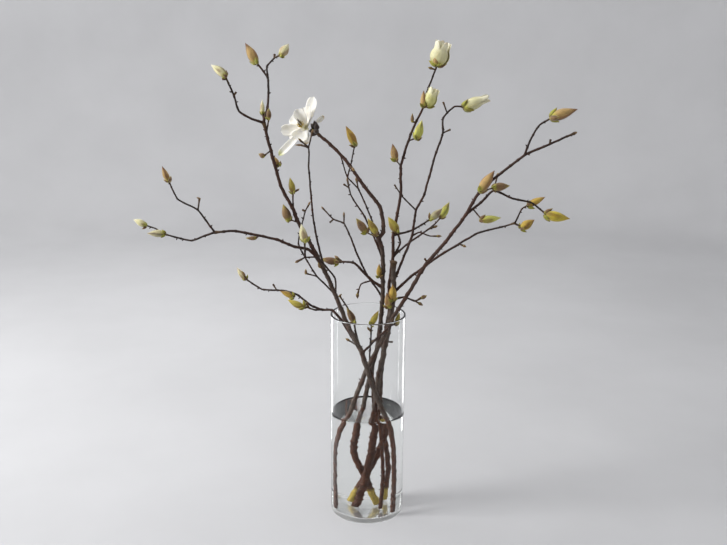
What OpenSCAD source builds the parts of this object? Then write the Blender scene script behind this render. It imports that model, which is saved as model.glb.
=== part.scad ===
// Glass cylinder vase, part filled with water and holding seven cut magnolia branches.
// The origin is the centre of the vase's flat foot, with +Z up and +X to the right.
// Every branch is a body of its own and lifts straight up out of the vase.

/* [Vase] */
// Outside diameter of the glass cylinder
vase_d = 106; // [100:1:120]
// Height of the glass from the foot to the top of the rim
vase_h = 300; // [280:5:320]
// Thickness of the glass wall
wall = 2.8; // [2.4:0.2:3]
// Thickness of the solid glass floor
floor_h = 7; // [5:0.5:7]
// Radius inside, where the wall meets the floor
inner_round = 3; // [1:0.5:3]
// Radius of the outer edge of the foot
foot_round = 3; // [1:0.5:4]

/* [Water] */
// Height of the water's surface above the foot
water_level = 154; // [120:1:200]
// Gap left between the water and everything that it touches
water_gap = 0.1; // [0.05:0.05:0.3]

/* [Branches] */
// Sides of a thick stem
stem_sides = 8; // [6:1:10]
// Sides of a thin twig
twig_sides = 6; // [5:1:8]
// How far a bud sits down over the end of its twig
bud_seat = 1.5; // [1:0.5:2]
// Radius of the short twigs that carry side buds
spur_r = 1; // [0.8:0.1:1.4]
// Thickness of a blossom's tepal
tepal_t = 1.2; // [1:0.1:2]

/* [Depth of each branch in the vase] */
// Branch with the tall and the long left limbs, at the front
lane_tall_left = -26; // [-27:1:-25]
// Branch that reaches furthest to the right
lane_far_right = -16; // [-17:1:-15]
// Thin branch that hangs low on the left
lane_low_left = -9; // [-10:1:-8]
// Thick branch with a sawn top
lane_cut_top = -1; // [-1.5:0.5:-0.5]
// Branch that carries the open blossom
lane_blossom = 10; // [9:1:11]
// Tallest branch on the right
lane_tall_right = 19; // [18.5:0.5:19.5]
// Thin arching branch, at the back
lane_arching = 27; // [26:1:28]

/* [Hidden] */

bark = [0.24, 0.18, 0.16];
bud_green = [0.50, 0.46, 0.22];
leaf_bud_brown = [0.34, 0.26, 0.14];
petal_white = [0.96, 0.95, 0.90];
water_blue = [0.75, 0.85, 0.88, 0.4];
glass_clear = [0.80, 0.90, 0.88, 0.35];

round_fn = 96;         // sides shown on the vase; it carries over as a true cylinder
bud_fn = 24;           // sides shown on a bud
thick_from = 1.9;      // a limb whose base is thicker than this gets stem_sides
arc_steps = 5;         // straight steps in a rounded corner of the glass
bud_steps = 6;         // straight steps along the side of a bud
foot_z = floor_h + 1;  // height of the sawn ends that stand in the vase

// The kinds of bud
FLOWER = 0;
LEAF = 1;
OPENING = 2;
BARE = [];

// A branch is a list of limbs, and a limb is
// [radius at its start, radius at its end, bud on its end, route, spurs].
// A bud is [kind, length, width, the way it points], and it points along its twig where the
// last is left out. A spur is [place along the route counted in points, offset of its tip, bud].

LOW_LEFT = [
    [2.4, 1.2, [FLOWER, 20, 8, [-2, 0, 3]],
        [[15, lane_low_left, foot_z], [18, lane_low_left, 60], [16, lane_low_left, 110],
         [8, lane_low_left, 205], [-15, lane_low_left, 255], [-40, -7, 295], [-50, -4, 305],
         [-65, 0, 305], [-80, 2, 310], [-100, 5, 325], [-120, 8, 330], [-150, 14, 330],
         [-175, 19, 345]],
        [[4.0, [-12, 0, 8], [LEAF, 7, 4]],
         [9.2, [-3, -4, -3], [FLOWER, 20, 8, [-2, 0, 1]]],
         [10.3, [-5, 2, 8], BARE],
         [11.9, [-2, -3, 6], [LEAF, 9, 4, [-1, 0, 2]]]]],
    [1.5, 1.1, [LEAF, 14, 4, [-5, 0, -1]],
        [[-65, 0, 305], [-75, -3, 305], [-85, -5, 310]],
        [[1.8, [-2, 0, 4], [LEAF, 7, 4, [-1, 0, 3]]],
         [1.9, [-8, -4, 2], [FLOWER, 24, 10, [-2, 0, 1]]]]],
    [1.8, 1.3, [FLOWER, 24, 10, [-1, 0, 2]],
        [[-5, lane_low_left, 235], [-15, -8, 265], [-20, -7, 290]],
        []],
    [1.3, 1.0, [LEAF, 6, 3, [1, 0, 1]],
        [[-20, -7, 290], [-30, -1, 310], [-40, 0, 325]],
        []],
];

TALL_LEFT = [
    [4.2, 2.0, BARE,
        [[34, lane_tall_left, foot_z], [36, lane_tall_left, 60], [34, lane_tall_left, 110],
         [26, lane_tall_left, 152], [5, lane_tall_left, 205], [-8, lane_tall_left, 250],
         [-30, lane_tall_left, 295], [-45, -28, 335], [-65, -30, 380], [-80, -34, 410],
         [-95, -38, 440], [-100, -40, 455], [-115, -44, 485], [-125, -50, 525],
         [-135, -55, 570]],
        [[7.8, [-5, -3, 4], [LEAF, 8, 4, [-1, 0, 3]]],
         [9.9, [-13, -4, 5], [FLOWER, 23, 12, [-1, 0, 3]]],
         [12.7, [3, 6, 2], [FLOWER, 18, 8, [-4, 0, 5]]],
         [13.2, [-10, 4, -8], [LEAF, 9, 7, [-2, 0, 1]]],
         [13.7, [4, -6, 20], [FLOWER, 14, 7, [0, 0, 1]]],
         [14.0, [-2, 6, 12], [FLOWER, 18, 6, [0, 0, 1]]]]],
    [1.7, 1.2, [FLOWER, 22, 11, [-4, 0, 3]],
        [[-135, -55, 570], [-150, -60, 575], [-165, -65, 585], [-170, -70, 605],
         [-180, -75, 630]],
        [[3.0, [3, 0, 4], BARE],
         [3.8, [-5, 0, 0], BARE]]],
    [1.8, 1.2, [FLOWER, 28, 13, [-5, 0, 9]],
        [[-135, -55, 570], [-130, -50, 590], [-130, -45, 625], [-145, -40, 645]],
        []],
    [1.3, 1.1, [FLOWER, 17, 12, [2, 0, 3]],
        [[-130, -45, 625], [-130, -50, 640], [-120, -55, 650], [-110, -60, 655]],
        [[2.0, [0, 2, 5], BARE]]],
    [1.2, 1.1, [FLOWER, 20, 9, [-1, 0, 5]],
        [[-100, -40, 455], [-100, -44, 480]],
        [[0.9, [6, 0, 4], [LEAF, 5, 3]]]],
    [2.2, 1.6, BARE,
        [[-65, -30, 380], [-80, -36, 400], [-100, -42, 405], [-120, -46, 415],
         [-155, -56, 425], [-175, -62, 430], [-200, -70, 430]],
        [[3.7, [-5, 4, -4], [LEAF, 15, 6, [-1, 0, 0]]]]],
    [1.5, 1.1, [FLOWER, 22, 10, [-1, 0, 0]],
        [[-200, -70, 430], [-215, -73, 425], [-230, -75, 420], [-250, -78, 425],
         [-265, -80, 430]],
        []],
    [1.1, 0.9, [FLOWER, 17, 9, [-2, 0, 1]],
        [[-265, -80, 430], [-275, -74, 435], [-290, -73, 440]],
        []],
    [1.4, 1.0, [FLOWER, 20, 8, [-2, 0, 5]],
        [[-200, -70, 430], [-210, -72, 445], [-220, -74, 460], [-245, -77, 475],
         [-255, -80, 500]],
        [[2.0, [2, 4, 14], [LEAF, 6, 3, [-2, 0, 1]]]]],
    [1.3, 1.1, [LEAF, 6, 4, [-2, 0, -1]],
        [[-45, -28, 335], [-45, -36, 360], [-60, -38, 380], [-70, -40, 390], [-85, -42, 390],
         [-95, -42, 385]],
        []],
    [1.4, 1.2, [FLOWER, 24, 11, [-1, 0, 5]],
        [[-85, -42, 390], [-85, -46, 415]],
        []],
    [1.3, 0.9, [LEAF, 6, 3],
        [[-45, -28, 335], [-70, -26, 360], [-80, -24, 375], [-95, -24, 405], [-85, -26, 450],
         [-80, -28, 460]],
        [[1.0, [-15, -3, 5], [LEAF, 8, 4, [0, 0, 1]]],
         [4.0, [-4, 0, 2], BARE]]],
    [1.7, 1.0, [LEAF, 6, 3],
        [[-45, -28, 335], [-60, -22, 370], [-70, -20, 410], [-75, -21, 440], [-80, -25, 510],
         [-80, -28, 535], [-90, -32, 545]],
        [[5.0, [5, 4, 20], [LEAF, 6, 3]],
         [5.0, [-10, 4, 3], [LEAF, 10, 3, [-1, 0, 0]]]]],
    [1.7, 1.2, BARE,
        [[-8, lane_tall_left, 250], [10, -27, 270], [25, -28, 285], [35, -28, 300]],
        []],
];

BLOSSOM = [
    [3.9, 2.2, BARE,
        [[10, lane_blossom, foot_z], [0, lane_blossom, 45], [-13, lane_blossom, 90],
         [-10, lane_blossom, 130], [5, lane_blossom, 210], [15, lane_blossom, 255],
         [20, lane_blossom, 315], [20, lane_blossom, 385], [15, 10, 405], [20, 10, 415],
         [20, 11, 430], [15, 12, 450], [-5, 14, 475], [-30, 20, 510], [-55, 27, 535],
         [-75, 32, 550]],
        [[6.4, [-5, -2, 10], [FLOWER, 18, 8, [0, 0, 1]]],
         [8.0, [-20, 0, 10], [FLOWER, 24, 12, [-2, 0, 3]]],
         [8.0, [-4, -1, 8], [FLOWER, 26, 11, [-3, 0, 5]]],
         [12.9, [5, -5, -5], [LEAF, 6, 4]]]],
    [2.2, 1.5, [FLOWER, 24, 11, [-5, 0, 1]],
        [[20, lane_blossom, 335], [5, 10, 345], [-10, 10, 360], [-20, 11, 370],
         [-45, 16, 370]],
        [[3.6, [-8, 4, 5], [LEAF, 8, 4]]]],
    [1.2, 1.0, [LEAF, 8, 5, [0, 0, -1]],
        [[5, 10, 345], [-10, 8, 340], [-15, 8, 325]],
        []],
];

ARCHING = [
    [2.2, 1.0, [LEAF, 5, 3],
        [[15, lane_arching, foot_z], [18, lane_arching, 60], [15, lane_arching, 110],
         [8, lane_arching, 160], [8, lane_arching, 205], [14, lane_arching, 255],
         [20, lane_arching, 315], [0, 28, 345], [-15, 32, 375], [-25, 36, 400],
         [-35, 41, 420], [-50, 45, 425], [-65, 50, 440]],
        [[10.0, [0, 2, 12], [LEAF, 6, 3]],
         [11.0, [-5, 1, -5], BARE]]],
    [1.6, 1.0, [LEAF, 6, 3],
        [[20, lane_arching, 315], [20, 28, 370], [-5, 34, 430], [-25, 42, 460],
         [-30, 48, 480]],
        [[3.5, [-8, 2, 5], BARE]]],
    [1.4, 0.9, [LEAF, 8, 3],
        [[20, 28, 370], [5, 33, 425], [-15, 40, 470], [-30, 46, 485], [-40, 52, 515]],
        [[2.0, [-2, -2, 12], [LEAF, 7, 4]]]],
    [1.1, 1.0, [FLOWER, 30, 12, [-1, 0, 2]],
        [[-30, 46, 485], [-25, 50, 505], [-20, 56, 530]],
        []],
];

CUT_TOP = [
    [4.5, 3.6, BARE,
        [[-12, lane_cut_top, foot_z], [-2, lane_cut_top, 50], [5, lane_cut_top, 100],
         [10, lane_cut_top, 150], [15, lane_cut_top, 200], [22, lane_cut_top, 240],
         [30, lane_cut_top, 285], [35, lane_cut_top, 320], [35, lane_cut_top, 375]],
        [[5.4, [10, 1, 0], BARE],
         [5.9, [11, 1, 5], [FLOWER, 18, 7, [1, 0, 4]]],
         [6.7, [-5, -5, 2], [FLOWER, 22, 10, [-1, 0, 7]]],
         [6.8, [0, -3, 8], [FLOWER, 24, 12, [0, 0, 1]]]]],
    [1.9, 1.2, [OPENING, 37, 17, [5, 0, 2]],
        [[35, lane_cut_top, 345], [60, 8, 410], [65, 10, 445], [75, 12, 465], [90, 17, 520],
         [100, 21, 550], [100, 24, 570], [115, 26, 585], [130, 28, 585]],
        [[5.0, [10, -2, 5], BARE],
         [6.4, [-6, 4, 15], BARE]]],
    [1.1, 0.9, BARE,
        [[65, 10, 445], [45, 12, 465], [35, 14, 480]],
        []],
    [1.2, 0.9, [LEAF, 8, 4],
        [[60, 8, 410], [70, 7, 415], [85, 6, 410], [95, 6, 410]],
        []],
    [2.1, 1.2, BARE,
        [[35, lane_cut_top, 330], [55, 0, 350], [100, 0, 385], [125, 2, 400], [150, 3, 415],
         [185, 2, 425], [200, 0, 430]],
        [[3.0, [6, -3, -2], [LEAF, 6, 4]]]],
    [1.2, 1.0, [FLOWER, 25, 10, [2, 0, 1]],
        [[200, 0, 430], [210, 3, 450], [220, 6, 455]],
        []],
    [1.2, 1.1, [FLOWER, 21, 13, [3, 0, 2]],
        [[200, 0, 430], [210, -4, 425]],
        []],
    [1.6, 1.2, [LEAF, 9, 6],
        [[35, lane_cut_top, 320], [50, -4, 325], [65, -6, 320], [75, -7, 325]],
        [[2.0, [6, 2, -4], [LEAF, 9, 5]]]],
];

TALL_RIGHT = [
    [3.5, 1.3, [OPENING, 34, 28, [1, 0, 4]],
        [[-15, lane_tall_right, foot_z], [-5, lane_tall_right, 40], [10, lane_tall_right, 85],
         [17, lane_tall_right, 120], [20, lane_tall_right, 200], [23, lane_tall_right, 250],
         [30, lane_tall_right, 295], [30, 22, 335], [35, 28, 375], [35, 33, 405],
         [45, 44, 460], [45, 52, 500], [55, 58, 535], [65, 63, 560], [75, 67, 580],
         [80, 72, 600], [95, 77, 640]],
        [[11.0, [-8, -3, 10], [FLOWER, 24, 11, [-1, 0, 5]]],
         [12.0, [12, -5, 5], [FLOWER, 27, 13, [1, 0, 4]]],
         [13.0, [-5, -4, 2], [LEAF, 13, 5, [0, 0, 1]]],
         [14.0, [0, -8, 4], [FLOWER, 22, 9, [0, 0, 1]]],
         [14.0, [6, -4, 4], [OPENING, 28, 20, [2, 0, 5]]],
         [15.8, [-6, -4, 2], [LEAF, 8, 4]],
         [16.0, [-3, -8, 0], [FLOWER, 20, 9, [0, 0, 1]]]]],
    [1.7, 1.3, [FLOWER, 26, 13, [-3, 0, 5]],
        [[35, 28, 375], [45, 32, 395], [40, 35, 410]],
        []],
    [1.7, 1.2, [FLOWER, 23, 11, [1, 0, 1]],
        [[35, 33, 405], [60, 40, 410], [80, 48, 420], [90, 55, 425]],
        []],
    [1.6, 1.1, [FLOWER, 26, 12, [1, 0, 2]],
        [[35, 28, 375], [55, 42, 390], [80, 55, 405], [95, 62, 415], [105, 68, 425]],
        [[2.3, [10, -4, 5], [LEAF, 7, 4]]]],
];

FAR_RIGHT = [
    [4.2, 1.4, [LEAF, 5, 4],
        [[-41, lane_far_right, foot_z], [-42, lane_far_right, 60], [-41, lane_far_right, 105],
         [-27, lane_far_right, 148], [-12, lane_far_right, 195], [2, lane_far_right, 230],
         [18, lane_far_right, 262], [35, lane_far_right, 300], [50, -18, 325],
         [80, -23, 380], [100, -28, 405], [130, -34, 450], [145, -40, 480],
         [160, -43, 495], [200, -52, 530], [230, -58, 545], [260, -64, 560]],
        [[9.0, [-4, 0, 5], BARE],
         [12.0, [1, -7, 4], [FLOWER, 32, 14, [2, 0, 3]]],
         [12.0, [20, 4, 5], [FLOWER, 22, 12, [8, 0, 1]]],
         [15.0, [1, 0, 6], BARE]]],
    [1.9, 1.2, [FLOWER, 33, 14, [6, 0, -1]],
        [[130, -34, 450], [150, -31, 465], [165, -29, 480], [190, -32, 470],
         [215, -36, 465], [235, -41, 450]],
        [[0.4, [12, -6, -14], [FLOWER, 27, 11, [8, 0, 1]]],
         [2.0, [5, 3, 20], [LEAF, 5, 4]]]],
    [1.5, 1.2, [FLOWER, 34, 14, [3, 0, 1]],
        [[200, -52, 530], [205, -58, 550], [215, -64, 570], [230, -69, 580]],
        []],
    [1.3, 1.1, [FLOWER, 23, 9, [1, 0, 2]],
        [[2, lane_far_right, 230], [5, -17, 290]],
        [[0.5, [3, 0, 4], [LEAF, 6, 4]],
         [0.8, [-3, 0, 4], [LEAF, 6, 4]]]],
];

// The open blossom: where its tepals spring from and the way that it faces
bloom_at = [-80, 33, 554];
bloom_axis = [-1, -0.5, 0.2];
// A tepal is [offset of its tip, width]
TEPALS = [
    [[8, -4, 42], 18], [[-2, 8, 38], 16], [[-14, -12, 26], 18],
    [[-38, -6, -8], 18], [[-22, -14, -14], 20], [[-42, 4, -36], 14],
    [[-24, 18, 12], 16], [[-4, -6, -20], 9], [[20, -2, 16], 6],
];

// Rounded corner of a profile: a quarter circle of radius r about c, from angle a to b
function arc(c, r, a, b) =
    [for (i = [0:arc_steps]) c + r * [cos(a + (b - a) * i / arc_steps), sin(a + (b - a) * i / arc_steps)]];

// Half outline of a bud: a swelling, pointed shape, [radius, height] from base to tip
function bud_outline(l, w) = concat([[0, 0]],
    [for (i = [0:bud_steps - 1]) let (t = i / bud_steps) [w / 2 * bud_swell(t), l * t]],
    [[0, l]]);
function bud_swell(t) = 0.45 * (1 - t) + 0.72 * sin(180 * pow(t, 0.8));

// Point on a route, counted in points, and the radius of a limb at one of its points
function along(route, f) = let (i = min(floor(f), len(route) - 2))
    route[i] + (f - i) * (route[i + 1] - route[i]);
function radius_at(limb, f) = limb[0] + (limb[1] - limb[0]) * f / (len(limb[3]) - 1);
// Direction of a route where its point i is: halfway between its two neighbours
function heading(route, i) =
    route[min(i + 1, len(route) - 1)] - route[max(i - 1, 0)];
function route_end(route) = route[len(route) - 1];
// Every bud of a branch as [base, direction, bud]
function buds_of(branch) = [
    for (limb = branch) each concat(
        [placed(route_end(limb[3]), heading(limb[3], len(limb[3]) - 1), limb[2])],
        [for (spur = limb[4]) placed(along(limb[3], spur[0]) + spur[1], spur[1], spur[2])])];
function placed(at, dir, bud) = [at, len(bud) > 3 ? bud[3] : dir, bud];

// Stands a child's Z axis on a point, along a direction
module aim(at, dir) {
    translate(at)
        rotate([0, acos(dir.z / norm(dir)), atan2(dir.y, dir.x)])
            children();
}

// A tapering stem swept along a route, as one closed solid
module sweep(route, radii, sides) {
    across = sideways(route);
    last = (len(route) - 1) * sides;
    points = [
        for (i = [0:len(route) - 1])
            let (s = across[i], t = cross(unit(heading(route, i)), s))
                for (k = [0:sides - 1])
                    route[i] + radii[i] * (cos(360 * k / sides) * s + sin(360 * k / sides) * t)];
    walls = [
        for (i = [0:len(route) - 2])
            for (k = [0:sides - 1])
                let (a = i * sides + k, b = i * sides + (k + 1) % sides)
                    each [[a, a + sides, b + sides], [a, b + sides, b]]];
    caps = [[for (k = [0:sides - 1]) k], [for (k = [sides - 1:-1:0]) last + k]];
    polyhedron(points, concat(walls, caps));
}

function unit(v) = v / norm(v);
// A direction square to the route at each of its points, carried along it without twisting
function sideways(route, i = 0, s = [0.2, 1, 0.3]) = i == len(route) ? [] :
    let (t = unit(heading(route, i)), u = unit(s - (s * t) * t))
        concat([u], sideways(route, i + 1, u));

// The main stem of a limb, with extra_r added where it stands for a channel
module limb_stem(limb, extra_r = 0) {
    route = limb[3];
    sweep(route, [for (i = [0:len(route) - 1]) radius_at(limb, i) + extra_r],
        limb[0] > thick_from ? stem_sides : twig_sides);
}

module wood(branch) {
    color(bark)
        for (limb = branch) {
            limb_stem(limb);
            for (spur = limb[4])
                sweep([along(limb[3], spur[0]), along(limb[3], spur[0]) + spur[1]],
                    [spur_r, spur_r], twig_sides);
        }
}

module bud(l, w) {
    rotate_extrude($fn = bud_fn) polygon(bud_outline(l, w));
}

// All the buds of one kind that a branch carries
module buds(branch, kind, paint) {
    color(paint)
        for (b = buds_of(branch))
            if (b[2] != BARE && b[2][0] == kind)
                aim(b[0] - bud_seat * b[1] / norm(b[1]), b[1]) bud(b[2][1], b[2][2]);
}

module vase() {
    r = vase_d / 2;
    inner_r = r - wall;
    lip = wall / 2;
    profile = concat(
        [[0, 0]],
        arc([r - foot_round, foot_round], foot_round, -90, 0),
        arc([r - lip, vase_h - lip], lip, 0, 180),
        arc([inner_r - inner_round, floor_h + inner_round], inner_round, 0, -90),
        [[0, floor_h]]);
    color(glass_clear) rotate_extrude($fn = round_fn) polygon(profile);
}

// The water fills the vase around the stems, a hair's breadth away from everything
module water() {
    inner_r = vase_d / 2 - wall - water_gap;
    floor_z = floor_h + water_gap;
    profile = concat(
        [[0, floor_z]],
        arc([inner_r - inner_round, floor_z + inner_round], inner_round, -90, 0),
        [[inner_r, water_level], [0, water_level]]);
    color(water_blue)
        difference() {
            rotate_extrude($fn = round_fn) polygon(profile);
            for (branch = [LOW_LEFT, TALL_LEFT, BLOSSOM, ARCHING, CUT_TOP, TALL_RIGHT, FAR_RIGHT])
                limb_stem(branch[0], water_gap);
        }
}

// A flat, leaf-shaped tepal whose face is turned to the blossom's axis
module tepal(reach, w) {
    l = norm(reach);
    tilt = acos(reach.z / l);
    turn = atan2(reach.y, reach.x);
    side_x = [cos(tilt) * cos(turn), cos(tilt) * sin(turn), -sin(tilt)];
    side_y = [-sin(turn), cos(turn), 0];
    aim(bloom_at, reach)
        rotate([0, 0, atan2(bloom_axis * side_y, bloom_axis * side_x)])
            hull() {
                translate([0, 0, 0.12 * l]) tepal_disc(w / 4);
                translate([0, 0, l - w / 2]) tepal_disc(w / 2);
            }
}

module tepal_disc(r) {
    rotate([0, 90, 0]) cylinder(h = tepal_t, r = r, $fn = twig_sides * 2, center = true);
}

module blossom_tepals() {
    color(petal_white)
        for (t = TEPALS) tepal(t[0], t[1]);
}

// The dark scales at the blossom's foot, a cup at the end of the branch
module blossom_scales() {
    cup_h = 8;
    cup_w = 15;
    lip_h = 1;
    color(leaf_bud_brown)
        aim(bloom_at - cup_h * unit(bloom_axis), bloom_axis)
            rotate_extrude($fn = bud_fn)
                polygon([[0, 0], [cup_w / 4, 0], [cup_w / 2, cup_h - lip_h], [cup_w / 3, cup_h],
                    [0, cup_h - lip_h]]);
}

// The green and yellow cone at the middle of the blossom
module blossom_heart() {
    heart_l = 18;
    heart_w = 7;
    above_cup = 2;
    color(bud_green)
        aim(bloom_at + above_cup * unit(bloom_axis), bloom_axis) bud(heart_l, heart_w);
}

module tall_left_wood() wood(TALL_LEFT);
module tall_left_buds() buds(TALL_LEFT, FLOWER, bud_green);
module tall_left_leaf_buds() buds(TALL_LEFT, LEAF, leaf_bud_brown);
module low_left_wood() wood(LOW_LEFT);
module low_left_buds() buds(LOW_LEFT, FLOWER, bud_green);
module low_left_leaf_buds() buds(LOW_LEFT, LEAF, leaf_bud_brown);
module blossom_wood() wood(BLOSSOM);
module blossom_buds() buds(BLOSSOM, FLOWER, bud_green);
module blossom_leaf_buds() buds(BLOSSOM, LEAF, leaf_bud_brown);
module arching_wood() wood(ARCHING);
module arching_buds() buds(ARCHING, FLOWER, bud_green);
module arching_leaf_buds() buds(ARCHING, LEAF, leaf_bud_brown);
module cut_top_wood() wood(CUT_TOP);
module cut_top_buds() buds(CUT_TOP, FLOWER, bud_green);
module cut_top_leaf_buds() buds(CUT_TOP, LEAF, leaf_bud_brown);
module cut_top_tepals() buds(CUT_TOP, OPENING, petal_white);
module tall_right_wood() wood(TALL_RIGHT);
module tall_right_buds() buds(TALL_RIGHT, FLOWER, bud_green);
module tall_right_leaf_buds() buds(TALL_RIGHT, LEAF, leaf_bud_brown);
module tall_right_tepals() buds(TALL_RIGHT, OPENING, petal_white);
module far_right_wood() wood(FAR_RIGHT);
module far_right_buds() buds(FAR_RIGHT, FLOWER, bud_green);
module far_right_leaf_buds() buds(FAR_RIGHT, LEAF, leaf_bud_brown);

vase();
water();
tall_left_wood();
tall_left_buds();
tall_left_leaf_buds();
low_left_wood();
low_left_buds();
low_left_leaf_buds();
blossom_wood();
blossom_buds();
blossom_leaf_buds();
blossom_tepals();
blossom_scales();
blossom_heart();
arching_wood();
arching_buds();
arching_leaf_buds();
cut_top_wood();
cut_top_buds();
cut_top_leaf_buds();
cut_top_tepals();
tall_right_wood();
tall_right_buds();
tall_right_leaf_buds();
tall_right_tepals();
far_right_wood();
far_right_buds();
far_right_leaf_buds();
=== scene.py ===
"""Glass cylinder vase with water and seven magnolia branches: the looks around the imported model."""
import math
import random

import bpy
from mathutils import Matrix, Vector, noise


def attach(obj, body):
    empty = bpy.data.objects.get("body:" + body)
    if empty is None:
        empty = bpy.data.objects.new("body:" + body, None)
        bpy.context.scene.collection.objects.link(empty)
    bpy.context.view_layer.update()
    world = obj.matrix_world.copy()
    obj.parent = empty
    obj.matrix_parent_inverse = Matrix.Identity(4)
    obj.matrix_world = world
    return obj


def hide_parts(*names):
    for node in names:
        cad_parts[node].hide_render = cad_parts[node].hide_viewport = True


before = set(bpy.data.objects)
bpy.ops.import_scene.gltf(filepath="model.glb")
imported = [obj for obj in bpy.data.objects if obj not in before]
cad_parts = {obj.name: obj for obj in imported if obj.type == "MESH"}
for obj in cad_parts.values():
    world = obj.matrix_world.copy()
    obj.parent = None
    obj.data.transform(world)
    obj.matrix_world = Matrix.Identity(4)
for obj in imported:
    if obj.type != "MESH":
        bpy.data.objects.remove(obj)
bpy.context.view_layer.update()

MM = 0.001
TAU = 2 * math.pi

# The driving sizes of the CAD model, in mm
VASE_R = 53
VASE_H = 300
WALL = 2.8
FLOOR_H = 7
INNER_ROUND = 3
FOOT_ROUND = 3
WATER_LEVEL = 154
BUD_SEAT = 1.5
SPUR_R = 1
FOOT_Z = FLOOR_H + 1

INNER_R = VASE_R - WALL
FAR = 99  # mm, for a place that isn't near the end of a stem

# Depth of each branch in the vase
lane_tall_left = -26
lane_far_right = -16
lane_low_left = -9
lane_cut_top = -1
lane_blossom = 10
lane_tall_right = 19
lane_arching = 27

FLOWER, LEAF, OPENING, BARE = 0, 1, 2, []

# Looks of a flower bud: colour of its foot, its side and its tip
LOOKS = {
    "tan": ((0.42, 0.37, 0.05), (0.45, 0.29, 0.10), (0.20, 0.09, 0.03)),
    "gold": ((0.46, 0.36, 0.04), (0.50, 0.33, 0.05), (0.30, 0.16, 0.03)),
    "brown": ((0.38, 0.34, 0.04), (0.20, 0.115, 0.045), (0.36, 0.30, 0.05)),
    "olive": ((0.26, 0.18, 0.03), (0.37, 0.30, 0.04), (0.47, 0.37, 0.05)),
    "yellow": ((0.42, 0.34, 0.05), (0.60, 0.47, 0.04), (0.55, 0.38, 0.05)),
    "lime": ((0.36, 0.27, 0.03), (0.56, 0.56, 0.11), (0.66, 0.64, 0.20)),
    "cream": ((0.46, 0.43, 0.07), (0.70, 0.65, 0.36), (0.84, 0.79, 0.56)),
    "pale": ((0.44, 0.43, 0.07), (0.72, 0.69, 0.26), (0.86, 0.81, 0.52)),
    "leafy": ((0.16, 0.11, 0.02), (0.34, 0.34, 0.04), (0.40, 0.34, 0.05)),
    "grey": ((0.42, 0.40, 0.10), (0.44, 0.40, 0.22), (0.56, 0.50, 0.32)),
}

# A branch is a list of limbs, and a limb is
# [radius at its start, radius at its end, bud on its end, route, spurs].
# A bud is [kind, length, width, the way it points, look], and a leaf bud has no look and
# may leave out its way. A spur is [place along the route counted in points, offset of its
# tip, bud].

LOW_LEFT = [
    [2.4, 1.2, [FLOWER, 20, 8, [-2, 0, 3], "cream"],
        [[15, lane_low_left, FOOT_Z], [18, lane_low_left, 60], [16, lane_low_left, 110],
         [8, lane_low_left, 205], [-15, lane_low_left, 255], [-40, -7, 295], [-50, -4, 305],
         [-65, 0, 305], [-80, 2, 310], [-100, 5, 325], [-120, 8, 330], [-150, 14, 330],
         [-175, 19, 345]],
        [[4.0, [-12, 0, 8], [LEAF, 7, 4]],
         [9.2, [-3, -4, -3], [FLOWER, 20, 8, [-2, 0, 1], "gold"]],
         [10.3, [-5, 2, 8], BARE],
         [11.9, [-2, -3, 6], [LEAF, 9, 4, [-1, 0, 2]]]]],
    [1.5, 1.1, [LEAF, 14, 4, [-5, 0, -1]],
        [[-65, 0, 305], [-75, -3, 305], [-85, -5, 310]],
        [[1.8, [-2, 0, 4], [LEAF, 7, 4, [-1, 0, 3]]],
         [1.9, [-8, -4, 2], [FLOWER, 24, 10, [-2, 0, 1], "olive"]]]],
    [1.8, 1.3, [FLOWER, 24, 10, [-1, 0, 2], "brown"],
        [[-5, lane_low_left, 235], [-15, -8, 265], [-20, -7, 290]],
        []],
    [1.3, 1.0, [LEAF, 6, 3, [1, 0, 1]],
        [[-20, -7, 290], [-30, -1, 310], [-40, 0, 325]],
        []],
]

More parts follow.
